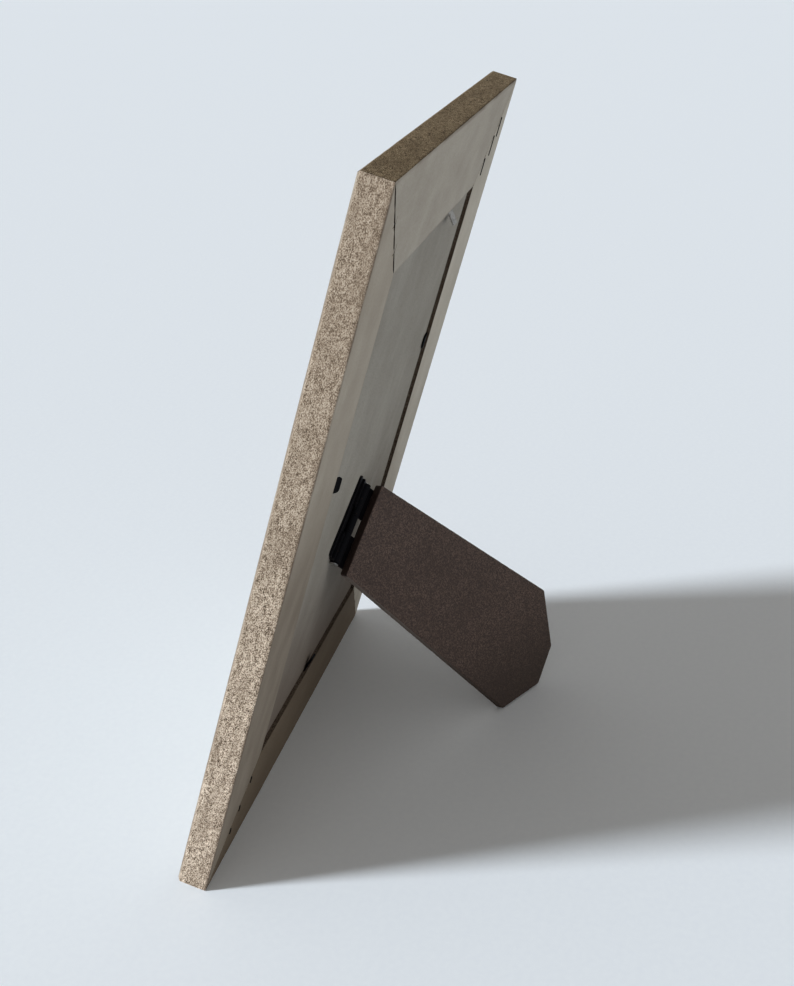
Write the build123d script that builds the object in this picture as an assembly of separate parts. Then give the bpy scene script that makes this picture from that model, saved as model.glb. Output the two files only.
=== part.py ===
from build123d import *
import os
from math import atan, cos, degrees, radians, sin, sqrt, tan

# Easel back photo frame, in millimetres, standing on its bottom rail's rear edge and on its strut's foot.
# It is first built upright: X across, with left and right as seen from the front, Y from front to back, Z up.
# There the origin is the middle of the bottom rail's rear edge, and the mouldings' back lies in the plane Y = 0.
# Last of all the frame leans back onto its strut, and the origin moves to the middle of the box it fills.

# Frame mouldings
frame_width = 164.0
frame_height = 214.8
moulding_depth = 9.0
rail_back_width = 30.0
lip_width = 5.0
front_arris = 0.8
sight_bevel = 1.6
mitre_gap = 0.16

# What lies in the rebate, from back to front
board_recess = 1.2
board_thickness = 2.5
insert_thickness = 0.3
glass_thickness = 1.5
board_clearance = 0.5
insert_clearance = 1.2
board_arris = 0.25

# V nails across the mitres, driven from the back and sunk a little
nail_leg = 4.6
nail_steel = 0.4
nail_height = 5.5
nail_sink = 0.3
nail_first = 19.0
nail_pitch = 13.0

# Strut leg: its places are measured from the hinge pin, and its two far corners are cut at 45 degrees
open_angle = 38.0
leg_thickness = 2.8
leg_start = 4.0
leg_shoulder = 102.5
leg_hinge_width = 31.0
leg_shoulder_width = 46.0
leg_tip_width = 15.0
leg_arris = 0.3

# Strut hinge, set at 45 degrees so that the same strut serves with the frame either way up
hinge_slant = 45.0
pin_radius = 0.8
pin_clearance = 0.05
pin_overhang = 0.4
pin_chamfer = 0.25
leaf_steel = 0.75
leaf_length = 27.0
leaf_corner = 1.5
centre_knuckle = 5.4
knuckle_gap = 0.12
barrel_gap = 0.4
arm_window = 6.2
window_end = 0.6
board_leaf_reach = 8.5
leg_leaf_reach = 17.0
stop_reach = 5.0
stop_from_middle = 4.5
stop_clearance = 0.03
prong_width = 1.4
prong_depth = 1.9
prong_from_end = 4.0
prong_from_edge = 2.4

# Bendable retaining tabs: a root driven into the moulding and a tongue over the backing board.
# Each was driven to its own depth, its reach from the wall, and bent up from the board by its own angle.
tab_steel = 0.5
tab_width = 4.8
tab_length = 14.0
tab_corner = 1.0
tab_point = 2.6
tab_bend_gap = 0.06
tab_wall_clearance = 0.2
tab_full_bend = 90.0
left_tab_height = 131.4
left_tab_reach = 3.8
left_tab_bend = 4.0
right_tab_height = 123.0
right_tab_reach = 3.7
right_tab_bend = 30.0
top_tab_offset = -19.8
top_tab_reach = 5.0
top_tab_bend = 38.0
bottom_tab_offset = 4.0
bottom_tab_reach = 5.4
bottom_tab_bend = 16.0

# Derived sizes
face_width = rail_back_width + lip_width
rebate_width = frame_width - 2 * rail_back_width
rebate_height = frame_height - 2 * rail_back_width
board_back = -board_recess
board_front = board_back - board_thickness
insert_front = board_front - insert_thickness
glass_front = insert_front - glass_thickness
middle_height = frame_height / 2
moulding_back = 0.0
tab_bend_line = tab_steel / 2 + tab_wall_clearance

# The barrel's steel wraps the pin, and the barrel rests on the backing board
bore_radius = pin_radius + pin_clearance
barrel_radius = bore_radius + leaf_steel
pin_level = board_back + barrel_radius

# A corner cut at 45 degrees lies flat on the table when the frame leans back by this much
opening = radians(open_angle)
slant = radians(hinge_slant)
lean = atan(tan(opening / 2) / sqrt(2))

# The pin's height puts the foot on the table, and the pin is as far from the side that the leg folds towards
foot_level = pin_level + leg_shoulder * sin(opening)
foot_drop = leg_shoulder_width / 2 * cos(slant) + leg_shoulder * cos(opening) * sin(slant)
pin_height = foot_level * tan(lean) + foot_drop
pin_offset = pin_height - frame_width / 2

# Hinge coordinates: x from the pin along the folded leg, y up along the pin, z out from the backing board
hinge_plane = Plane(
    origin=(pin_offset, pin_level, pin_height),
    x_dir=(-cos(slant), 0, -sin(slant)),
    z_dir=(0, 1, 0),
)
at_hinge = hinge_plane.location
at_open_leg = at_hinge * Rot(0, -open_angle, 0)


def block(x_low, x_high, y_low, y_high, z_low, z_high):
    """A rectangular block between two opposite corners."""
    middle = Pos((x_low + x_high) / 2, (y_low + y_high) / 2, (z_low + z_high) / 2)
    return middle * Box(x_high - x_low, y_high - y_low, z_high - z_low)


def rod(radius, length):
    """A round bar along y, centred on the origin."""
    return Rot(90, 0, 0) * Cylinder(radius, length)


def plate(points, z_low, z_high):
    """A flat plate with a straight-sided outline in x and y."""
    outline = make_face(Polyline(*points, close=True))
    return Pos(0, 0, z_low) * extrude(outline, amount=z_high - z_low)


def only(shape):
    """The single solid that a cut or a union leaves."""
    return shape.solids()[0]


# Mouldings

def moulding(length):
    """One mitred moulding along X, with its outer side at Z = 0 and its rebate at the back."""
    rebate_floor = glass_front
    front = -moulding_depth
    section = [
        (moulding_back, 0),
        (moulding_back, rail_back_width),
        (rebate_floor, rail_back_width),
        (rebate_floor, face_width),
        (front + sight_bevel, face_width),
        (front, face_width - sight_bevel),
        (front, front_arris),
        (front + front_arris, 0),
    ]
    face = make_face(Plane.YZ * Polyline(*section, close=True))
    bar = extrude(face, amount=length / 2, both=True)
    half = length / 2 - mitre_gap / sqrt(2)
    mitres = [
        (-half, 0),
        (half, 0),
        (half - face_width, face_width),
        (face_width - half, face_width),
    ]
    wedge = extrude(make_face(Plane.XZ * Polyline(*mitres, close=True)), amount=moulding_depth, both=True)
    return only(bar & wedge)


def v_nail(side, end, distance, back):
    """A V nail at a mitre: side and end are +1 or -1, and distance runs from the frame's outer corner."""
    inset = distance / sqrt(2)
    x = side * (frame_width / 2 - inset)
    z = middle_height + end * (middle_height - inset)
    low = -nail_sink - nail_height
    half = nail_steel / 2
    across = block(-half, nail_leg, low, back, -half, half)
    upward = block(-half, half, low, back, -half, nail_leg)
    nail = across + upward
    if side < 0:
        nail = mirror(nail, about=Plane.YZ)
    if end < 0:
        nail = mirror(nail, about=Plane.XY)
    return only(Pos(x, 0, z) * nail)


def nails(back):
    """Every V nail, with its back edge at this Y."""
    places = [(side, end) for side in (-1, 1) for end in (-1, 1)]
    distances = (nail_first, nail_first + nail_pitch)
    return [v_nail(side, end, distance, back) for side, end in places for distance in distances]


# Sheets in the rebate

def sheet(clearance, front, back):
    """A sheet that fills the rebate's opening but for a clearance all round."""
    half = rebate_width / 2 - clearance
    low = rail_back_width + clearance
    high = frame_height - rail_back_width - clearance
    return block(-half, half, front, back, low, high)


def backing_board():
    """The board behind the insert, with its back edges eased."""
    board = sheet(board_clearance, board_front, board_back)
    back_edges = board.faces().sort_by(Axis.Y)[-1].edges()
    return chamfer(back_edges, board_arris)


# Retaining tabs: x runs inward from the bend, y along the rebate's wall, z out from the board's back

def tab_tongue(reach, bend):
    """The tongue, rounded at its two free corners and bent up from the board at the wall."""
    start = tab_steel / 2 + tab_bend_gap
    half = tab_width / 2
    end = reach - tab_bend_line
    tongue = block(start, end, -half, half, -tab_steel / 2, tab_steel / 2)
    free_corners = tongue.edges().filter_by(Axis.Z).group_by(Axis.X)[-1]
    return Pos(0, 0, tab_steel / 2) * Rot(0, -bend, 0) * fillet(free_corners, tab_corner)


def tab_root(reach):
    """The pointed root inside the moulding, with the rounded bend that the tongue starts from."""
    half = tab_width / 2
    end = reach - tab_bend_line - tab_length
    shoulder = end + tab_point
    root = plate([(0, -half), (0, half), (shoulder, half), (end, 0), (shoulder, -half)], 0, tab_steel)
    bend = Pos(0, 0, tab_steel / 2) * rod(tab_steel / 2, tab_width)
    return only(root + bend)


def bend_place(x, z, inward):
    """Where a tab bends: clear of this point of the rebate's wall at the board's back, with x running inward."""
    wall = Plane(origin=(x, board_back, z), x_dir=inward, z_dir=(0, 1, 0)).location
    return wall * Pos(tab_bend_line, 0, 0)


tab_places = {
    "left": bend_place(-rebate_width / 2, left_tab_height, (1, 0, 0)),
    "right": bend_place(rebate_width / 2, right_tab_height, (-1, 0, 0)),
    "top": bend_place(top_tab_offset, frame_height - rail_back_width, (0, 0, -1)),
    "bottom": bend_place(bottom_tab_offset, rail_back_width, (0, 0, 1)),
}
tab_reaches = {
    "left": left_tab_reach,
    "right": right_tab_reach,
    "top": top_tab_reach,
    "bottom": bottom_tab_reach,
}
tab_bends = {
    "left": left_tab_bend,
    "right": right_tab_bend,
    "top": top_tab_bend,
    "bottom": bottom_tab_bend,
}


# Hinge and leg, in hinge coordinates

def prongs(places, low, high):
    """Flat prongs that stand along y at these places, between two levels."""
    half_steel = leaf_steel / 2
    half_width = prong_width / 2
    return [
        block(x - half_steel, x + half_steel, y - half_width, y + half_width, low, high)
        for x, y in places
    ]


board_prong_rows = [-board_leaf_reach + prong_from_edge]
leg_prong_rows = [leg_start + prong_from_edge, leg_leaf_reach - prong_from_edge]
prong_sides = (leaf_length / 2 - prong_from_end, prong_from_end - leaf_length / 2)


def prong_places(rows):
    """Each prong's x and y."""
    return [(x, y) for x in rows for y in prong_sides]


def rounded_leaf(near, far, low, high):
    """A leaf's flat steel from near the pin to its far edge, with the far corners rounded."""
    half = leaf_length / 2
    leaf = block(min(near, far), max(near, far), -half, half, low, high)
    rows = leaf.edges().filter_by(Axis.Z).group_by(Axis.X)
    far_corners = rows[-1] if far > near else rows[0]
    return fillet(far_corners, leaf_corner)


def board_prongs():
    """The prongs that hold the board leaf in the backing board."""
    return prongs(prong_places(board_prong_rows), -barrel_radius - prong_depth, -barrel_radius)


def board_leaf():
    """The leaf that lies on the backing board, on the far side of the pin from the leg, with one knuckle."""
    low = -barrel_radius
    high = low + leaf_steel
    half = centre_knuckle / 2
    leaf = rounded_leaf(-barrel_radius - barrel_gap, -board_leaf_reach, low, high)
    leaf += block(-barrel_radius - barrel_gap, 0, -half, half, low, high)
    leaf += rod(barrel_radius, centre_knuckle)
    for prong in board_prongs():
        leaf += prong
    return only(leaf - rod(bore_radius, leaf_length))


def leg_prongs():
    """The prongs that hold the leg leaf in the leg."""
    return prongs(prong_places(leg_prong_rows), 0, prong_depth)


def leg_leaf():
    """The leaf under the leg: two knuckles with their arms, and the stop that ends the opening."""
    start = centre_knuckle / 2 + knuckle_gap
    end = leaf_length / 2
    leaf = rounded_leaf(0, leg_leaf_reach, -leaf_steel, 0)
    leaf -= block(-barrel_radius, leg_start + window_end, -arm_window / 2, arm_window / 2, -leaf_steel, 0)
    stop_low = leaf_steel + stop_clearance - barrel_radius
    for side in (-1, 1):
        leaf += Pos(0, side * (start + end) / 2, 0) * rod(barrel_radius, end - start)
        ends = sorted((side * stop_from_middle, side * end))
        stop = block(-stop_reach, 0, *ends, stop_low, stop_low + leaf_steel)
        leaf += Rot(0, open_angle, 0) * stop
    for prong in leg_prongs():
        leaf += prong
    return only(leaf - rod(bore_radius, leaf_length + 2 * pin_overhang))


def hinge_pin():
    """The plain wire pin, with its ends eased."""
    pin = rod(pin_radius, leaf_length + 2 * pin_overhang)
    return chamfer(pin.edges().filter_by(GeomType.CIRCLE), pin_chamfer)


def strut_leg():
    """The tapered leg with its two cut corners, its outer face's edges eased."""
    tip = leg_shoulder + (leg_shoulder_width - leg_tip_width) / 2
    rows = [(leg_start, leg_hinge_width), (leg_shoulder, leg_shoulder_width), (tip, leg_tip_width)]
    upper = [(x, width / 2) for x, width in rows]
    lower = [(x, -width / 2) for x, width in reversed(rows)]
    leg = plate(upper + lower, 0, leg_thickness)
    leg = chamfer(leg.faces().sort_by(Axis.Z)[-1].edges(), leg_arris)
    for prong in leg_prongs():
        leg -= prong
    return only(leg)


# Assembly, upright

rails = {
    "bottom_rail": moulding(frame_width),
    "top_rail": Pos(0, 0, frame_height) * Rot(0, 180, 0) * moulding(frame_width),
    "right_stile": Pos(frame_width / 2, 0, middle_height) * Rot(0, -90, 0) * moulding(frame_height),
    "left_stile": Pos(-frame_width / 2, 0, middle_height) * Rot(0, 90, 0) * moulding(frame_height),
}
tab_members = {"left": "left_stile", "right": "right_stile", "top": "top_rail", "bottom": "bottom_rail"}
nail_slots = nails(moulding_back)

parts = {}
for name, member in rails.items():
    for slot in nail_slots:
        member = member - slot
    parts[name] = member
for side, place in tab_places.items():
    root = place * tab_root(tab_reaches[side])
    member = tab_members[side]
    parts[member] = parts[member] - root
    parts[side + "_tab_root"] = root
    parts[side + "_tab_tongue"] = place * tab_tongue(tab_reaches[side], tab_bends[side])

board = backing_board()
for prong in board_prongs():
    board = board - at_hinge * prong
parts["backing_board"] = board
parts["picture_insert"] = sheet(insert_clearance, insert_front, board_front)
parts["glass_pane"] = sheet(board_clearance, glass_front, insert_front)
parts["hinge_board_leaf"] = at_hinge * board_leaf()
parts["hinge_pin"] = at_hinge * hinge_pin()
parts["hinge_leg_leaf"] = at_open_leg * leg_leaf()
parts["strut_leg"] = at_open_leg * strut_leg()

for name in [*rails, "backing_board"]:
    parts[name] = only(parts[name])
parts["corner_v_nails"] = Compound(nails(-nail_sink))

# The frame leans back on its bottom rail's rear edge, and the origin moves to its footprint's middle
leaning = Rot(-degrees(lean), 0, 0)
box = Compound([leaning * shape for shape in parts.values()]).bounding_box()
standing = Pos(-(box.min.X + box.max.X) / 2, -(box.min.Y + box.max.Y) / 2, -box.min.Z) * leaning

os.makedirs("parts", exist_ok=True)
for name, shape in parts.items():
    export_step(standing * shape, "parts/" + name + ".step")

print("leans back by", round(degrees(lean), 2), "degrees")
print("pin height", round(pin_height, 2), "and offset", round(pin_offset, 2))
print("box", box.size)
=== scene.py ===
from math import atan, ceil, cos, hypot, pi, radians, sin, sqrt, tan

import bmesh
import bpy
from mathutils import Matrix, Vector, noise


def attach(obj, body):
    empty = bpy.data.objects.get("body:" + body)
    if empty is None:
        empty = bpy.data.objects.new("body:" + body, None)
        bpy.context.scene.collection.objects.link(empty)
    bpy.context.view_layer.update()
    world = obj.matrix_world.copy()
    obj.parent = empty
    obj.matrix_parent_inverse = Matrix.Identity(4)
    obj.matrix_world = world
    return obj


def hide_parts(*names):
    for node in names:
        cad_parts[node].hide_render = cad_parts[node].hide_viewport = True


# Easel back photo frame of raw fibre board. Each piece is modelled in millimetres in a frame of its own,
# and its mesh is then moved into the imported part's frame, in metres.

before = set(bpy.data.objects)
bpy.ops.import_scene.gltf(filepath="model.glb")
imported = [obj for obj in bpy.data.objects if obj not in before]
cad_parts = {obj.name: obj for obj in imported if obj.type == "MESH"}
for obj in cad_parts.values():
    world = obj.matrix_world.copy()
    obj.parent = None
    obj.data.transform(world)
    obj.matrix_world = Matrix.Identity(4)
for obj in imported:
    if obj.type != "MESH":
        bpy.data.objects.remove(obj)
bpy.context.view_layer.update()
scene = bpy.context.scene
scene.view_settings.view_transform = "Standard"
MM = 0.001

# Sizes in millimetres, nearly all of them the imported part's own
frame_width = 164.0
frame_height = 214.8
moulding_depth = 9.0
rail_back_width = 30.0
face_width = 35.0
front_arris = 0.8
sight_bevel = 1.6
mitre_gap = 0.16
rebate_floor = -5.5
board_back = -1.2
board_front = -3.7
# The glass stands a hair clear of the insert, whose front is at -4
glass_back = -4.05
glass_front = -5.5
board_half_width = 51.5
board_low = 30.5
board_high = 184.3
board_corner = 0.6
nail_inset_first = 19.0
nail_pitch = 13.0
nail_leg = 2.4
nail_slot = 0.3
nail_slot_depth = 1.0
nail_rise = 0.27
nail_sunk = 0.4
proud_nails = [
    # across and up signs of the corner, distance of the edge's top along the mitre from the outer
    # corner, and length
    (-1, 1, 15.4, 6.4), (-1, 1, 22.7, 6.6), (-1, 1, 31.6, 5.6),
    (1, -1, 19.0, 2.2), (1, -1, 26.0, 2.2), (1, -1, 35.0, 2.4),
]
peened_radius = 1.35
peened_place = 13.56
leg_thickness = 2.8
leg_outline = [(4, -15.5), (102.5, -23), (118, -7.5), (118, 7.5), (102.5, 23), (4, 15.5)]
leg_corner = 0.7
open_angle = radians(38)
pin_place = (6.84, 0.4, 88.84)
upright_origin = (0, -35.704, 0)

# Frames: upright is the photo frame before it leans back, with X across, Y front to back and Z up
lean = atan(tan(open_angle / 2) / sqrt(2))
upright = Matrix.Translation(Vector(upright_origin) * MM) @ Matrix.Rotation(-lean, 4, "X")
half_right = sqrt(0.5)
hinge_axes = Matrix(((-half_right, -half_right, 0), (0, 0, 1), (-half_right, half_right, 0))).to_4x4()
hinge = upright @ Matrix.Translation(Vector(pin_place) * MM) @ hinge_axes
open_leg = hinge @ Matrix.Rotation(-open_angle, 4, "Y")


def along(x, z, turn):
    """The frame of a moulding whose outer side's middle is at x, z and which is turned about Y."""
    return upright @ Matrix.Translation(Vector((x, 0, z)) * MM) @ Matrix.Rotation(radians(turn), 4, "Y")


# Camera at the photograph's viewing angle

def make_camera():
    """A camera at the place and angle that the photograph was taken from."""
    place = Vector((0.36210, 0.08215, 0.27087))
    heading, dip, roll = 0.22692, 0.44133, 0.03158
    focal_pixels, long_side = 1335.28, 986
    forward = Vector((-cos(dip) * cos(heading), -cos(dip) * sin(heading), -sin(dip)))
    level = forward.cross(Vector((0, 0, 1))).normalized()
    right = level * cos(roll) + level.cross(forward) * sin(roll)
    up = right.cross(forward)
    data = bpy.data.cameras.new("camera")
    data.sensor_width = 36
    data.lens = data.sensor_width * focal_pixels / long_side
    data.clip_start = 0.01
    camera = bpy.data.objects.new("camera", data)
    turn = Matrix((right, up, -forward)).transposed().to_4x4()
    camera.matrix_world = Matrix.Translation(place) @ turn
    scene.collection.objects.link(camera)
    scene.camera = camera


# Light: a pale sky, and a soft lamp from in front of the frame and the photograph's left

sky_colour = (1, 0.94, 0.86, 1)
sky_low_strength = 0.83
sky_high_strength = 0.04
backdrop_colour = (0.74, 0.81, 0.89, 1)
sun_colour = (0.94, 0.975, 1)
sun_energy = 3.3
sun_width = radians(9)
sun_azimuth = radians(28)
sun_height = radians(31)


def make_light():
    """A sky that is bright low down and dim overhead, and a wide soft sun from in front of the frame.
    To the camera, and in metal and glass, the sky shows as a plain backdrop."""
    world = bpy.data.worlds.new("world")
    scene.world = world
    world.use_nodes = True
    nodes, links = world.node_tree.nodes, world.node_tree.links
    sky = nodes["Background"]
    sky.inputs["Color"].default_value = sky_colour
    direction = nodes.new("ShaderNodeTexCoord")
    parts = nodes.new("ShaderNodeSeparateXYZ")
    links.new(direction.outputs["Generated"], parts.inputs[0])
    fall = nodes.new("ShaderNodeMapRange")
    fall.inputs["To Min"].default_value = sky_low_strength
    fall.inputs["To Max"].default_value = sky_high_strength
    links.new(parts.outputs["Z"], fall.inputs["Value"])
    links.new(fall.outputs["Result"], sky.inputs["Strength"])
    backdrop = nodes.new("ShaderNodeBackground")
    backdrop.inputs["Color"].default_value = backdrop_colour
    path = nodes.new("ShaderNodeLightPath")
    straight = nodes.new("ShaderNodeMath")
    straight.operation = "MAXIMUM"
    links.new(path.outputs["Is Camera Ray"], straight.inputs[0])
    links.new(path.outputs["Is Transmission Ray"], straight.inputs[1])
    seen = nodes.new("ShaderNodeMath")
    seen.operation = "MAXIMUM"
    links.new(straight.outputs[0], seen.inputs[0])
    links.new(path.outputs["Is Glossy Ray"], seen.inputs[1])
    either = nodes.new("ShaderNodeMixShader")
    links.new(seen.outputs[0], either.inputs[0])
    links.new(sky.outputs[0], either.inputs[1])
    links.new(backdrop.outputs[0], either.inputs[2])
    links.new(either.outputs[0], nodes["World Output"].inputs["Surface"])
    lamp = bpy.data.lights.new("key", "SUN")
    lamp.energy = sun_energy
    lamp.angle = sun_width
    lamp.color = sun_colour
    key = bpy.data.objects.new("key", lamp)
    travel = Vector((
        -sin(sun_azimuth) * cos(sun_height),
        cos(sun_azimuth) * cos(sun_height),
        -sin(sun_height),
    ))
    key.rotation_mode = "QUATERNION"
    key.rotation_quaternion = travel.to_track_quat("-Z", "Y")
    scene.collection.objects.link(key)


# Meshes

def mesh_object(name, points, faces, matrix):
    """A mesh object from points in millimetres."""
    mesh = bpy.data.meshes.new(name)
    mesh.from_pydata([Vector(p) * MM for p in points], [], faces)
    mesh.update()
    made = bpy.data.objects.new(name, mesh)
    scene.collection.objects.link(made)
    made.matrix_world = matrix
    return made


def settle(obj, angle=32):
    """Shades an object smooth up to an angle in degrees, notes each point's place in the piece's own
    frame for its material, and moves its mesh into the part's frame."""
    mesh = obj.data
    mesh.shade_smooth()
    mesh.set_sharp_from_angle(angle=radians(angle))
    place = mesh.attributes.new("place", "FLOAT_VECTOR", "POINT")
    for item, vertex in zip(place.data, mesh.vertices):
        item.vector = vertex.co / MM
    mesh.transform(obj.matrix_world)
    obj.matrix_world = Matrix()


def divided(a, b, step):
    """Points from a up to but without b, no further apart than step."""
    count = max(1, ceil(hypot(b[0] - a[0], b[1] - a[1]) / step))
    return [(a[0] + (b[0] - a[0]) * i / count, a[1] + (b[1] - a[1]) * i / count) for i in range(count)]


def rounded_outline(corners, step, arc_steps=4):
    """A closed outline through corners given as x, y and radius: its points, and for each a 1 where it
    belongs to a corner and a 0 where it doesn't."""
    arcs = []
    count = len(corners)
    for i, (x, y, radius) in enumerate(corners):
        before = Vector(corners[i - 1][:2])
        after = Vector(corners[(i + 1) % count][:2])
        here = Vector((x, y))
        start = here + (before - here).normalized() * radius
        end = here + (after - here).normalized() * radius
        arc = []
        for k in range(arc_steps + 1):
            t = k / arc_steps
            arc.append(start * (1 - t) ** 2 + here * 2 * t * (1 - t) + end * t ** 2)
        arcs.append([tuple(p) for p in arc])
    points, shares = [], []
    for i, arc in enumerate(arcs):
        points += arc[:-1]
        shares += [1.0] * len(arc[:-1])
        run = divided(arc[-1], arcs[(i + 1) % count][0], step)
        points += run
        shares += [1.0] + [0.0] * (len(run) - 1)
    return points, shares


def wobble(point, size, seed):
    """Smooth noise between about -1 and 1, with features of this size in the point's own units."""
    return noise.noise(Vector(point) / size + Vector((seed * 7.3, seed * 3.1, seed * 5.7)))


def ring_faces(rings, count, start=0):
    """The faces that join rings of points, this many to a ring, from the point numbered start."""
    faces = []
    for ring in range(rings - 1):
        first = start + ring * count
        second = first + count
        for i in range(count):
            k = (i + 1) % count
            faces.append((first + i, first + k, second + k, second + i))
    return faces


# Mitred mouldings

crack_depth = 1.2
crack_fade = 1.3
chip_reach = 0.14
section_step = 1.4
crack_half_widths = {
    # by corner, as across and up signs: ranges along the mitre from the outer corner, each with how far
    # either side stands back
    (-1, 1): [(13.2, 17.8, 0.2), (20.2, 26.0, 0.24), (29.7, 36.4, 0.2)],
    (1, 1): [(1.2, 12.4, 0.26), (12.8, 21.6, 0.34), (22.2, 30.8, 0.3), (31.4, 42.0, 0.26)],
    (1, -1): [(15.8, 19.6, 0.1), (23.6, 27.2, 0.14), (30.8, 35.8, 0.1)],
    (-1, -1): [(9.0, 14.0, 0.12), (19.5, 24.0, 0.22), (33.0, 36.0, 0.16)],
}
# By moulding and corner, how much the end also sinks there, as a share of how far it stands back
sunk_ends = {("right_stile", (1, 1)): 0.65}


def crack(corner, distance):
    """How far a moulding's end stands back from its mitre at this distance from the outer corner."""
    depth = 0.0
    for low, high, most in crack_half_widths[corner]:
        middle, half = (low + high) / 2, (high - low) / 2
        depth = max(depth, most * max(0.0, 1 - ((distance - middle) / half) ** 4))
    return depth


def end_steps(half):
    """Stations from 0 to 1 along half a moulding, closer together near its end."""
    offsets = [0, 0.15, 0.35, 0.7, 1.2, 2.0, 3.0]
    spacing = 1.3
    while offsets[-1] + spacing < half:
        offsets.append(offsets[-1] + spacing)
    return [1 - offset / half for offset in offsets]


def moulding(name, length, matrix, corners, seed):
    """A mitred moulding with eased, slightly uneven arrises. Local X runs along it and Z in from its
    outer side."""
    section = [
        # depth, distance in from the outer side, and corner radius
        (0.0, 0.0, 0.3),
        (0.0, rail_back_width, 0.25),
        (rebate_floor, rail_back_width, 0.05),
        (rebate_floor, face_width, 0.15),
        (sight_bevel - moulding_depth, face_width, 0.2),
        (-moulding_depth, face_width - sight_bevel, 0.2),
        (-moulding_depth, front_arris, 0.2),
        (front_arris - moulding_depth, 0.0, 0.2),
    ]
    outline, shares = rounded_outline(section, section_step)
    half = length / 2 - mitre_gap / sqrt(2)
    inner = end_steps(half)
    stations = [-t for t in inner] + inner[::-1]
    centre_depth, centre_width = -moulding_depth / 2, face_width / 2
    points = []
    for t in stations:
        corner = corners[0] if t > 0 else corners[1]
        for (depth, width), share in zip(outline, shares):
            reach = half - width
            x = t * reach
            from_end = (1 - abs(t)) * reach
            if depth > -crack_depth:
                top_share = 1 + depth / crack_depth
                fade = max(0.0, 1 - from_end / crack_fade) ** 2
                ragged = 1 + 0.5 * wobble((width, 0, 0), 0.9, seed)
                open_by = crack(corner, width * sqrt(2)) * ragged
                sunk = 0.05 + sunk_ends.get((name, corner), 0.0) * max(0.0, open_by)
                chip = max(0.0, wobble((width, depth, t), 0.7, seed + 1) - 0.15) * chip_reach
                x -= (1 if t > 0 else -1) * (max(0.0, open_by) + chip) * top_share * fade
                depth -= sunk * fade * top_share
            if share:
                # Long dents and short nicks along the arrises
                place = (x, depth * 3, width * 3)
                worn = 0.05 * wobble(place, 3.5, seed + 2) + 0.045 * wobble(place, 0.9, seed + 3) - 0.02
                inward = Vector((centre_depth - depth, centre_width - width)).normalized()
                worn_away = max(0.0, -worn)
                depth += inward.x * worn_away
                width += inward.y * worn_away
            points.append((x, depth, width))
    count = len(outline)
    rows = len(stations)
    faces = ring_faces(rows, count)
    faces.append(tuple(reversed(range(count))))
    faces.append(tuple((rows - 1) * count + j for j in range(count)))
    made = mesh_object(name + "_board", points, faces, matrix)
    outward_normals(made)
    return made


def outward_normals(obj):
    """Turns every face outward, and cuts the end caps into triangles."""
    work = bmesh.new()
    work.from_mesh(obj.data)
    bmesh.ops.triangulate(work, faces=[f for f in work.faces if len(f.verts) > 4])
    bmesh.ops.recalc_face_normals(work, faces=work.faces[:])
    work.to_mesh(obj.data)
    work.free()


def nail_cutter():
    """The V slots of every nail, as one mesh in the upright frame."""
    points, faces = [], []
    low, high = -nail_slot_depth, nail_slot_depth
    half = nail_slot / 2
    v_shape = [
        (-half, -half), (nail_leg, -half), (nail_leg, half),
        (half, half), (half, nail_leg), (-half, nail_leg),
    ]
    n = len(v_shape)
    for across in (-1, 1):
        for up in (-1, 1):
            for distance in (nail_inset_first, nail_inset_first + nail_pitch):
                inset = distance / sqrt(2)
                x0 = across * (frame_width / 2 - inset)
                z0 = frame_height / 2 + up * (frame_height / 2 - inset)
                start = len(points)
                for y in (low, high):
                    points += [(x0 + across * a, y, z0 + up * b) for a, b in v_shape]
                faces.append(tuple(start + i for i in range(n)))
                faces.append(tuple(start + n + i for i in reversed(range(n))))
                for i in range(n):
                    k = (i + 1) % n
                    faces.append((start + i, start + n + i, start + n + k, start + k))
    made = mesh_object("nail_cutter", points, faces, upright)
    outward_normals(made)
    return made


def proud_nail_edges():
    """The nails' edges that stand a little proud of the back beside two mitres, as one mesh in the
    upright frame."""
    points, faces = [], []
    half, low, high = nail_slot / 2, -nail_sunk, nail_rise
    ease = nail_rise / 3
    for across, up, distance, length in proud_nails:
        inset = distance / sqrt(2)
        x0 = across * (frame_width / 2 - inset)
        z0 = frame_height / 2 + up * (frame_height / 2 - inset)
        rings = [(low, 0), (high - ease, 0), (high, ease)]
        start = len(points)
        for y, into in rings:
            into_width = into * 0.4
            points += [
                (x0 - half + into_width, y, z0 - into),
                (x0 + half - into_width, y, z0 - into),
                (x0 + half - into_width, y, z0 - length + into),
                (x0 - half + into_width, y, z0 - length + into),
            ]
        faces += ring_faces(len(rings), 4, start)
        faces.append((start + 3, start + 2, start + 1, start))
        last = start + (len(rings) - 1) * 4
        faces.append((last, last + 1, last + 2, last + 3))
    made = mesh_object("proud_nail_edges", points, faces, upright)
    outward_normals(made)
    return made


def peened_end():
    """The pin's lower end, hammered out into a ragged little head, in the hinge's frame."""
    points = []
    count = 18
    raggedness = 0.28
    # how far past the pin's end, and the radius there as a share of the widest
    profile = [(0.0, 0.5), (0.12, 0.92), (0.3, 1.0), (0.5, 0.85), (0.62, 0.45)]
    for along_pin, share in profile:
        for i in range(count):
            turn = 2 * pi * i / count
            ragged = 1 + raggedness * wobble((cos(turn), sin(turn), 0), 0.7, 31)
            radius = peened_radius * share * ragged
            points.append((radius * cos(turn), -peened_place - along_pin, radius * sin(turn)))
    faces = ring_faces(len(profile), count)
    faces.append(tuple(range(count)))
    faces.append(tuple((len(profile) - 1) * count + i for i in range(count)))
    made = mesh_object("peened_pin_end", points, faces, hinge)
    outward_normals(made)
    return made


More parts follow.
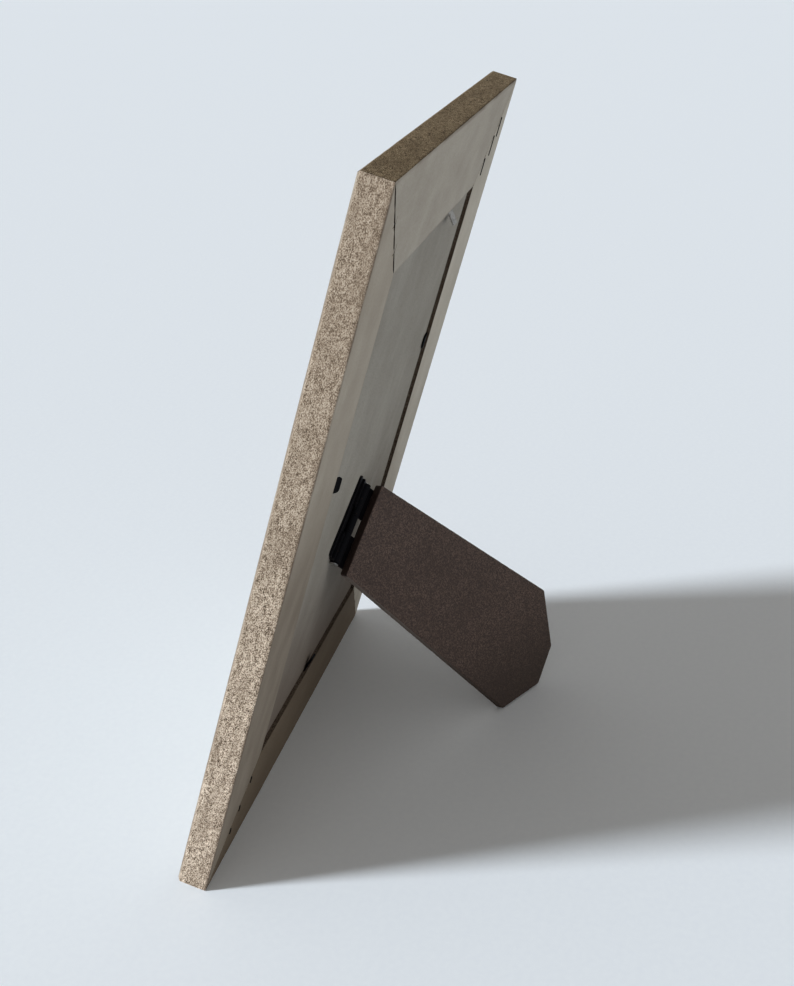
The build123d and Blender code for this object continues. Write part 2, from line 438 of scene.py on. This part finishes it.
def carve(obj, cutter):
    """Takes the cutter's shape out of an object's mesh for good."""
    modifier = obj.modifiers.new("slots", "BOOLEAN")
    modifier.operation = "DIFFERENCE"
    modifier.solver = "EXACT"
    modifier.object = cutter
    bpy.context.view_layer.update()
    graph = bpy.context.evaluated_depsgraph_get()
    result = bpy.data.meshes.new_from_object(obj.evaluated_get(graph))
    obj.modifiers.clear()
    obj.data = result


# Flat boards with eased arrises

flat_margin = 0.3


def slab(name, corners, low, high, matrix, arris_low, arris_high, step, roughness, seed):
    """A flat board with an outline of x, y and corner radius, between two levels, its arrises eased and
    a little uneven."""
    outline, _ = rounded_outline(corners, step)
    count = len(outline)
    inward = []
    for i in range(count):
        before, after = Vector(outline[i - 1]), Vector(outline[(i + 1) % count])
        run = (after - before).normalized()
        inward.append(Vector((-run.y, run.x)))
    rings = []
    arc = [0, pi / 8, pi / 4, 3 * pi / 8, pi / 2]
    rings.append((arris_low + flat_margin, low))
    rings += [(arris_low * (1 - sin(a)), low + arris_low * (1 - cos(a))) for a in arc]
    middles = max(1, ceil((high - low) / step))
    wall = high - low - arris_low - arris_high
    rings += [(0, low + arris_low + wall * i / middles) for i in range(1, middles)]
    rings += [(arris_high * (1 - cos(a)), high - arris_high * (1 - sin(a))) for a in arc]
    rings.append((arris_high + flat_margin, high))
    points = []
    for inset, level in rings:
        for (x, y), into in zip(outline, inward):
            near_arris = min(level - low, high - level) < max(arris_low, arris_high)
            size = roughness * (1.0 if near_arris else 0.5)
            place = (x, y, level)
            uneven = 0.5 * wobble(place, 2.6, seed) + 0.6 * wobble(place, 0.7, seed + 1) + 0.1
            cut_in = size * max(0.0, uneven)
            shift = inset + (cut_in if inset < flat_margin else 0)
            points.append((x + into.x * shift, y + into.y * shift, level))
    rows = len(rings)
    faces = ring_faces(rows, count)
    middle_x = sum(x for x, _ in outline) / count
    middle_y = sum(y for _, y in outline) / count
    points += [(middle_x, middle_y, low), (middle_x, middle_y, high)]
    for j in range(count):
        k = (j + 1) % count
        faces.append((rows * count, k, j))
        faces.append((rows * count + 1, (rows - 1) * count + j, (rows - 1) * count + k))
    made = mesh_object(name, points, faces, matrix)
    outward_normals(made)
    return made


# Materials

shader_inputs = {
    "metallic": "Metallic",
    "specular": "Specular IOR Level",
    "transmission": "Transmission Weight",
    "ior": "IOR",
}


class Look:
    """A material being built. Its coordinates are the mesh's own noted places, or else the object's."""

    def __init__(self, name, own_place=False):
        self.material = bpy.data.materials.new(name)
        self.material.use_nodes = True
        self.tree = self.material.node_tree
        self.shader = self.tree.nodes["Principled BSDF"]
        if own_place:
            self.place = self.add("ShaderNodeAttribute", attribute_name="place").outputs["Vector"]
            self.unit = 1.0
        else:
            self.place = self.add("ShaderNodeTexCoord").outputs["Object"]
            self.unit = 1 / MM

    def add(self, kind, inputs=None, **settings):
        """A new node, with settings, and inputs that are values or other nodes' sockets."""
        made = self.tree.nodes.new(kind)
        for key, value in settings.items():
            setattr(made, key, value)
        for key, value in (inputs or {}).items():
            if isinstance(value, bpy.types.NodeSocket):
                self.tree.links.new(value, made.inputs[key])
            else:
                made.inputs[key].default_value = value
        return made

    def scaled(self, per_mm, shift=(0, 0, 0)):
        """Coordinates with this many features per millimetre along each axis."""
        scale = [self.unit * s for s in per_mm]
        inputs = {"Vector": self.place, "Scale": scale, "Location": shift}
        return self.add("ShaderNodeMapping", inputs).outputs[0]

    def noise(self, per_mm, detail=2, rough=0.5, shift=(0, 0, 0)):
        """Noise from about 0 to 1."""
        sizes = {"Vector": self.scaled(per_mm, shift), "Scale": 1, "Detail": detail, "Roughness": rough}
        return self.add("ShaderNodeTexNoise", sizes).outputs["Fac"]

    def ramp(self, fac, *stops):
        """Colours by a factor, from stops of position and colour."""
        made = self.add("ShaderNodeValToRGB", {"Fac": fac})
        ramp = made.color_ramp
        ramp.interpolation = "LINEAR"
        while len(ramp.elements) < len(stops):
            ramp.elements.new(0.5)
        for element, (position, colour) in zip(ramp.elements, sorted(stops)):
            element.position = position
            element.color = (*colour, 1)
        return made.outputs["Color"]

    def span(self, value, low, high, to_low=0.0, to_high=1.0):
        """A value mapped from one range to another, and held to its ends."""
        inputs = {"Value": value, "From Min": low, "From Max": high, "To Min": to_low, "To Max": to_high}
        settings = {"clamp": True, "interpolation_type": "SMOOTHSTEP"}
        return self.add("ShaderNodeMapRange", inputs, **settings).outputs["Result"]

    def mix(self, fac, a, b, how="MIX"):
        """Two colours mixed."""
        made = self.add("ShaderNodeMix", data_type="RGBA", blend_type=how)
        for socket, value in ((made.inputs[0], fac), (made.inputs[6], a), (made.inputs[7], b)):
            if isinstance(value, bpy.types.NodeSocket):
                self.tree.links.new(value, socket)
            elif isinstance(value, (tuple, list)):
                socket.default_value = (*value, 1)
            else:
                socket.default_value = value
        return made.outputs[2]

    def calculate(self, how, a, b=0.0):
        """One step of arithmetic on two numbers."""
        return self.add("ShaderNodeMath", {0: a, 1: b}, operation=how).outputs[0]

    def times(self, a, b):
        """Two numbers multiplied."""
        return self.calculate("MULTIPLY", a, b)

    def tinted(self, colour, tint):
        """A colour multiplied by a tint."""
        return self.mix(1.0, colour, tint, "MULTIPLY")

    def facing(self, direction):
        """How far the surface faces this direction, from -1 to 1."""
        inputs = {0: self.add("ShaderNodeTexCoord").outputs["Normal"], 1: direction}
        return self.add("ShaderNodeVectorMath", inputs, operation="DOT_PRODUCT").outputs["Value"]

    def parts(self, vector):
        """A vector's x, y and z."""
        made = self.add("ShaderNodeSeparateXYZ", {"Vector": vector})
        return made.outputs[0], made.outputs[1], made.outputs[2]

    def bump(self, height, depth_mm, strength=1.0):
        """Relief of this depth in millimetres."""
        inputs = {"Height": height, "Distance": depth_mm * MM, "Strength": strength}
        made = self.add("ShaderNodeBump", inputs)
        self.tree.links.new(made.outputs["Normal"], self.shader.inputs["Normal"])

    def finish(self, colour, rough, **values):
        """Links the colour and the roughness, and sets the shader's other values."""
        self.link("Base Color", colour)
        self.link("Roughness", rough)
        for key, value in values.items():
            self.shader.inputs[shader_inputs[key]].default_value = value
        return self.material

    def link(self, key, value):
        """Links or sets one of the shader's inputs."""
        if isinstance(value, bpy.types.NodeSocket):
            self.tree.links.new(value, self.shader.inputs[key])
        elif isinstance(value, (tuple, list)):
            self.shader.inputs[key].default_value = (*value, 1)
        else:
            self.shader.inputs[key].default_value = value


def fibre_board(name, half_length, shift, tint, side_tone_and_shade, painted_low_shade_most, smoothed_shaded_high_most):
    """Raw fibre board: smooth pressed faces, and coarse cut fibres on every other side."""
    look = Look(name, own_place=True)
    towards_back = look.facing(upright.to_3x3() @ Vector((0, 1, 0)))
    along_it, depth, inward = look.parts(look.place)
    face_share = look.span(look.calculate("ABSOLUTE", towards_back), 0.6, 0.85)

    # Pressed faces: grey brown, softly clouded, with faint rubbed streaks along the moulding, a few
    # specks and darker rims
    clouds = look.noise((0.045, 0.2, 0.06), 3, 0.6, shift)
    grain = look.noise((1.6, 2, 2.4), 2, 0.6, shift)
    streaks = look.noise((0.07, 0.5, 0.45), 3, 0.6, shift)
    face = look.ramp(clouds, (0.3, (0.4, 0.37, 0.32)), (0.7, (0.5, 0.47, 0.415)))
    face = look.mix(look.span(grain, 0.35, 0.7, 0.0, 0.22), face, (0.28, 0.24, 0.19))
    face = look.mix(look.span(streaks, 0.5, 0.8, 0.0, 0.1), face, (0.6, 0.57, 0.52))
    specks = look.noise((0.55, 1, 0.8), 3, 0.75, shift)
    face = look.mix(look.span(specks, 0.7, 0.76, 0.0, 0.55), face, (0.16, 0.12, 0.09))
    outer_rim = look.span(inward, 0.35, 1.5, 0.62, 0.0)
    at_back = look.span(depth, -3.2, -2.4)
    inner_rim = look.span(inward, rail_back_width - 1.1, rail_back_width - 0.2, 0.0, 0.35)
    rim = look.calculate("MAXIMUM", outer_rim, look.times(inner_rim, at_back))
    rim = look.times(rim, look.span(streaks, 0.35, 0.62, 0.2, 1.0))
    face = look.mix(rim, face, (0.15, 0.115, 0.085))

    # Cut sides: light and dark fibre bundles, darker towards the faces, evened out high up and darkened
    # there as painted shade, paler low down as painted light bounced from the floor, and near black on
    # the rebate's wall as painted shade
    fibres = look.noise((2.5, 3.9, 3.6), 2, 0.6, shift)
    coarse = look.noise((0.55, 0.9, 0.9), 2, 0.5, shift)
    bundles = look.calculate("ADD", look.times(fibres, 0.76), look.times(coarse, 0.24))
    cut_side = look.ramp(
        bundles,
        (0.39, (0.032, 0.021, 0.014)),
        (0.445, (0.24, 0.186, 0.134)),
        (0.5, (0.47, 0.39, 0.303)),
        (0.61, (0.88, 0.785, 0.65)),
    )
    patches = look.noise((0.06, 0.25, 0.2), 2, 0.5, shift)
    cut_side = look.mix(look.span(patches, 0.4, 0.72, 0.0, 0.4), cut_side, (0.2, 0.155, 0.11))
    _, _, height = look.parts(look.add("ShaderNodeTexCoord").outputs["Object"])
    # Painted shade: high up the fibres are evened out towards a darker mid brown
    smoothed_shaded_high = look.span(height, 0.04, 0.19, 0.02, smoothed_shaded_high_most)
    cut_side = look.mix(smoothed_shaded_high, cut_side, (0.29, 0.228, 0.168))
    from_middle = look.calculate("ABSOLUTE", look.calculate("ADD", depth, moulding_depth / 2))
    streaky = look.span(streaks, 0.35, 0.6, 0.3, 1.0)
    near_face = look.times(look.span(from_middle, 3.6, 4.45, 0.0, 0.8), streaky)
    cut_side = look.mix(near_face, cut_side, (0.145, 0.108, 0.08))
    # Painted shade: the rebate's narrow wall is made near black, as the shade in that recess
    rebate_wall_painted_shade = look.span(inward, 20, 25, 0.0, 0.85)
    cut_side = look.mix(rebate_wall_painted_shade, cut_side, (0.026, 0.016, 0.01))
    # Painted light: the cut sides are made paler low down, as if lit by light bounced off the floor
    painted_bounce_light_low = look.span(height, 0.02, 0.13, 1.0, 0.0)
    cut_side = look.mix(painted_bounce_light_low, cut_side, look.tinted(cut_side, (1.24, 1.24, 1.26)))
    # The cut sides take their tone, which on the top rail is painted shade
    cut_side = look.tinted(cut_side, side_tone_and_shade)

    # The back alone takes the tint, which on the bottom rail is mostly painted shade, and patchy painted
    # shade that thins out with height
    face = look.mix(at_back, face, look.tinted(face, tint))
    # Painted shade: patchy darkening low on the back, where it faces the shadowed floor
    painted_low_shade = look.noise((0.05, 0.3, 0.12), 2, 0.5, shift)
    painted_low_shade_share = look.times(look.span(painted_low_shade, 0.25, 0.8, 0.64, 0.84), painted_low_shade_most)
    painted_low_shade_share = look.times(painted_low_shade_share, at_back)
    painted_low_shade_share = look.times(painted_low_shade_share, look.span(height, 0.09, 0.135, 1.0, 0.2))
    face = look.mix(painted_low_shade_share, face, (0.13, 0.098, 0.07))
    colour = look.mix(face_share, cut_side, face)

    # Open mitres are dark inside
    from_end = look.calculate("SUBTRACT", half_length, inward)
    from_end = look.calculate("SUBTRACT", from_end, look.calculate("ABSOLUTE", along_it))
    below_back = look.span(depth, -0.2, -0.07, 1.0, 0.0)
    in_crack = look.times(below_back, look.span(from_end, 1.0, 1.5, 1.0, 0.0))
    off_side = look.times(look.span(inward, 0.4, 0.9), look.span(inward, 29.3, 29.7, 1.0, 0.0))
    off_side = look.times(off_side, at_back)
    colour = look.mix(look.times(in_crack, off_side), colour, (0.014, 0.01, 0.008))

    relief_side = look.times(bundles, look.calculate("SUBTRACT", 1.0, face_share))
    relief_face = look.times(grain, look.times(face_share, 0.12))
    look.bump(look.calculate("ADD", relief_side, relief_face), 0.35, 0.8)
    rough = look.span(grain, 0.2, 0.8, 0.82, 0.95)
    return look.finish(colour, rough, specular=0.1)


def backing_look():
    """The grey backing board: soft pale rubs over a darker grey brown, with short fibres, and painted
    shade that makes it darker and browner low down."""
    look = Look("backing_board_look", own_place=True)
    _, up, _ = look.parts(look.place)
    clouds = look.noise((0.035, 0.03, 1), 3, 0.6)
    grain = look.noise((1.8, 2.6, 2), 3, 0.65)
    rubs = look.noise((0.05, 0.035, 1), 3, 0.6, (4, 9, 0))
    scuffs = look.noise((0.4, 0.1, 1), 2, 0.5, (7, 3, 0))
    specks = look.noise((0.9, 0.7, 1), 2, 0.7, (1, 5, 0))
    colour = look.ramp(clouds, (0.3, (0.275, 0.258, 0.226)), (0.7, (0.345, 0.328, 0.29)))
    colour = look.mix(look.span(grain, 0.4, 0.7, 0.0, 0.35), colour, (0.18, 0.16, 0.135))
    colour = look.mix(look.span(rubs, 0.5, 0.72, 0.0, 0.16), colour, (0.46, 0.44, 0.4))
    colour = look.mix(look.span(scuffs, 0.64, 0.8, 0.0, 0.1), colour, (0.5, 0.47, 0.42))
    colour = look.mix(look.span(specks, 0.66, 0.74, 0.0, 0.45), colour, (0.13, 0.105, 0.085))
    # Painted shade: darker and browner low down, where the board faces the shadowed floor
    cloudy_height = look.calculate("ADD", up, look.span(clouds, 0.3, 0.7, -4.0, 4.0))
    colour = look.mix(look.span(cloudy_height, 28, 104, 0.76, 0.0), colour, (0.125, 0.092, 0.071))
    look.bump(grain, 0.06, 0.6)
    rough = look.span(grain, 0.2, 0.8, 0.84, 0.96)
    return look.finish(colour, rough, specular=0.08)


def leg_look():
    """Dark brown hardboard: a speckle of short fibres, a darker foot, and near black cut edges but for
    the long one that faces down, which takes a painted pale highlight, brightest near the hinge."""
    look = Look("leg_board_look", own_place=True)
    outward = look.facing(open_leg.to_3x3() @ Vector((0, 0, 1)))
    edge_share = look.span(look.calculate("ABSOLUTE", outward), 0.45, 0.8, 0.85, 0.0)
    down, across, _ = look.parts(look.place)
    speckle = look.noise((2.0, 2.2, 2.0), 3, 0.68)
    blotches = look.noise((0.3, 0.35, 0.4), 3, 0.6)
    clouds = look.noise((0.05, 0.06, 0.2), 3, 0.6)
    pale = look.noise((0.9, 1.6, 1), 2, 0.6, (3, 8, 1))
    colour = look.ramp(
        speckle,
        (0.38, (0.031, 0.019, 0.015)),
        (0.5, (0.075, 0.048, 0.038)),
        (0.61, (0.16, 0.112, 0.092)),
    )
    colour = look.mix(look.span(blotches, 0.4, 0.66, 0.0, 0.35), colour, (0.048, 0.031, 0.025))
    colour = look.mix(look.span(clouds, 0.35, 0.7, 0.0, 0.3), colour, (0.042, 0.025, 0.019))
    colour = look.mix(look.span(pale, 0.66, 0.78, 0.0, 0.4), colour, (0.21, 0.15, 0.12))
    towards_foot = look.calculate("SUBTRACT", down, across)
    colour = look.mix(look.span(towards_foot, 72, 126, 0.0, 0.65), colour, (0.02, 0.0115, 0.007))
    # Painted highlight: the long cut edge that faces down is made pale, most near the hinge
    painted_edge_highlight = look.mix(look.span(down, 25, 100), (0.17, 0.14, 0.12), (0.045, 0.028, 0.018))
    painted_highlight_share = look.times(look.span(across, -14, -10, 1.0, 0.0), look.span(down, 4.3, 5.5))
    colour = look.mix(edge_share, colour, look.mix(painted_highlight_share, (0.022, 0.012, 0.009), painted_edge_highlight))
    look.bump(speckle, 0.08, 0.6)
    rough = look.span(speckle, 0.3, 0.7, 0.55, 0.75)
    return look.finish(colour, rough, specular=0.25)


def black_steel_look():
    """Black japanned steel, a little uneven, with a few rusty or bare flecks."""
    look = Look("black_steel_look")
    uneven = look.noise((0.6, 0.6, 0.6), 3, 0.6)
    flecks = look.noise((1.7, 1.7, 1.7), 2, 0.6, (5, 2, 7))
    colour = look.ramp(uneven, (0.3, (0.0015, 0.0015, 0.002)), (0.7, (0.004, 0.0035, 0.0045)))
    colour = look.mix(look.span(flecks, 0.69, 0.78, 0.0, 0.6), colour, (0.12, 0.06, 0.035))
    look.bump(uneven, 0.03, 0.5)
    rough = look.span(uneven, 0.3, 0.7, 0.45, 0.62)
    return look.finish(colour, rough, specular=0.04)


def reflected_grey_steel_look():
    """The top tab's black steel, coloured a dull warm grey as a painted reflection of its bright
    surroundings, with darker stains.
    """
    look = Look("reflected_grey_steel_look")
    uneven = look.noise((0.5, 0.5, 0.5), 3, 0.6)
    stains = look.noise((0.9, 0.9, 0.9), 3, 0.6, (2, 6, 4))
    # Painted reflection: the grey stands for the bright surroundings mirrored in the tab's black steel
    colour = look.ramp(uneven, (0.3, (0.25, 0.235, 0.21)), (0.7, (0.36, 0.34, 0.31)))
    colour = look.mix(look.span(stains, 0.5, 0.66, 0.0, 0.7), colour, (0.07, 0.05, 0.04))
    look.bump(uneven, 0.03, 0.5)
    rough = look.span(uneven, 0.3, 0.7, 0.45, 0.6)
    return look.finish(colour, rough, metallic=0.3)


def bare_steel_look():
    """Plain drawn steel, dulled, with darker drawing lines."""
    look = Look("bare_steel_look")
    lines = look.noise((3, 0.2, 3), 2, 0.5)
    dull = look.noise((0.5, 0.5, 0.5), 3, 0.6)
    colour = look.ramp(dull, (0.3, (0.3, 0.29, 0.28)), (0.7, (0.52, 0.51, 0.5)))
    look.bump(lines, 0.01, 0.5)
    rough = look.span(lines, 0.3, 0.7, 0.28, 0.5)
    return look.finish(colour, rough, metallic=1.0)


def glass_look():
    """Clear glass with the faintest unevenness, through which the lamp and the sky light what lies
    behind it."""
    look = Look("clear_glass_look")
    smears = look.noise((0.03, 0.03, 0.03), 3, 0.6)
    rough = look.span(smears, 0.3, 0.8, 0.04, 0.09)
    made = look.finish((0.985, 0.992, 0.988), rough, transmission=1.0, ior=1.5)
    path = look.add("ShaderNodeLightPath")
    clear = look.add("ShaderNodeBsdfTransparent", {"Color": (0.94, 0.95, 0.945, 1)})
    lighting = look.calculate("MAXIMUM", path.outputs["Is Shadow Ray"], path.outputs["Is Diffuse Ray"])
    either = look.add("ShaderNodeMixShader", {0: lighting})
    look.tree.links.new(look.shader.outputs[0], either.inputs[1])
    look.tree.links.new(clear.outputs[0], either.inputs[2])
    look.tree.links.new(either.outputs[0], look.tree.nodes["Material Output"].inputs["Surface"])
    return made


def paper_look():
    """The plain insert: off-white paper with a fine tooth."""
    look = Look("insert_paper_look")
    tooth = look.noise((4, 4, 4), 3, 0.6)
    clouds = look.noise((0.05, 0.05, 0.05), 2, 0.5)
    colour = look.ramp(clouds, (0.3, (0.56, 0.545, 0.505)), (0.7, (0.62, 0.605, 0.565)))
    look.bump(tooth, 0.02, 0.4)
    rough = look.span(tooth, 0.3, 0.7, 0.75, 0.9)
    return look.finish(colour, rough)


def floor_look():
    """A plain pale floor."""
    look = Look("floor_look")
    tooth = look.noise((0.5, 0.5, 0.5), 2, 0.5)
    colour = look.ramp(tooth, (0.3, (0.85, 0.91, 0.985)), (0.7, (0.87, 0.93, 1.0)))
    return look.finish(colour, 0.9)


def dress(obj, material, body=None, replaced=()):
    """Gives an object its only material and, if it is a new piece, its body, and hides the imported
    nodes that it replaces.
    """
    obj.data.materials.clear()
    obj.data.materials.append(material)
    if body:
        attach(obj, body)
    if replaced:
        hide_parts(*replaced)


# The scene

make_camera()
make_light()

far = 4000
floor_corners = [(-far, -far, 0), (far, -far, 0), (far, far, 0), (-far, far, 0)]
floor = mesh_object("floor", floor_corners, [(0, 1, 2, 3)], Matrix())
dress(floor, floor_look())

mouldings = [
    # name, length, frame, the corners at its +X and -X ends, and seed
    ("bottom_rail", frame_width, along(0, 0, 0), ((1, -1), (-1, -1)), 1),
    ("top_rail", frame_width, along(0, frame_height, 180), ((-1, 1), (1, 1)), 2),
    ("right_stile", frame_height, along(frame_width / 2, frame_height / 2, -90), ((1, 1), (1, -1)), 3),
    ("left_stile", frame_height, along(-frame_width / 2, frame_height / 2, 90), ((-1, -1), (-1, 1)), 4),
]
board_tones = {
    # the tint of the back (on the bottom rail painted shade), the tint of the cut sides, and as shares
    # how far patchy painted shade darkens the back low down and how far painted shade and smoothing even
    # out the fibres high up
    "bottom_rail": ((0.34, 0.29, 0.235), (0.95, 0.92, 0.9), 0.6, 0.4),
    # the top rail's dark cut-side tint is painted shade on its upward-facing top edge
    "top_rail": ((0.89, 0.88, 0.87), (0.4, 0.35, 0.265), 0.05, 0.0),
    "right_stile": ((0.91, 0.88, 0.845), (0.9, 0.87, 0.855), 0.85, 0.44),
    "left_stile": ((1.1, 1.1, 1.09), (0.97, 0.96, 0.95), 0.05, 0.55),
}
cutter = nail_cutter()
for name, length, matrix, corners, seed in mouldings:
    bar = moulding(name, length, matrix, corners, seed)
    carve(bar, cutter)
    settle(bar)
    shift = (seed * 11.3, seed * 4.7, seed * 7.9)
    bar_look = fibre_board(name + "_look", length / 2, shift, *board_tones[name])
    dress(bar, bar_look, "frame", [name])
bpy.data.objects.remove(cutter)

board_corners = [
    (-board_half_width, board_low, board_corner), (board_half_width, board_low, board_corner),
    (board_half_width, board_high, board_corner), (-board_half_width, board_high, board_corner),
]
on_upright = upright @ Matrix.Rotation(radians(90), 4, "X")
board = slab(
    "backing_sheet", board_corners, -board_back, -board_front, on_upright,
    arris_low=0.25, arris_high=0.1, step=1.5, roughness=0.1, seed=11,
)
settle(board)
dress(board, backing_look(), "frame", ["backing_board"])

pane = slab(
    "glass_sheet", board_corners, -glass_back, -glass_front, on_upright,
    arris_low=0.12, arris_high=0.12, step=4.0, roughness=0.0, seed=12,
)
settle(pane)
dress(pane, glass_look(), "frame", ["glass_pane"])

leg_corners = [(x, y, leg_corner) for x, y in leg_outline]
leg = slab(
    "strut_board", leg_corners, 0, leg_thickness, open_leg,
    arris_low=0.2, arris_high=0.35, step=0.8, roughness=0.12, seed=21,
)
settle(leg)
dress(leg, leg_look(), "leg", ["strut_leg"])

black_steel = black_steel_look()
# Painted shade in part: the proud nail edges are black, so that they darken the dashes along the mitres
# where the uneven joint lies in shade
nail_edges = proud_nail_edges()
settle(nail_edges)
dress(nail_edges, black_steel, "frame")
bare_steel = bare_steel_look()
pin_end = peened_end()
settle(pin_end)
dress(pin_end, bare_steel, "frame")
reflected_grey_steel = reflected_grey_steel_look()
for name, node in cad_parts.items():
    if name.startswith("top_tab"):
        dress(node, reflected_grey_steel)
    elif "tab" in name or name in ("hinge_board_leaf", "hinge_leg_leaf"):
        dress(node, black_steel)
    elif name in ("hinge_pin", "corner_v_nails"):
        dress(node, bare_steel)
dress(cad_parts["picture_insert"], paper_look())
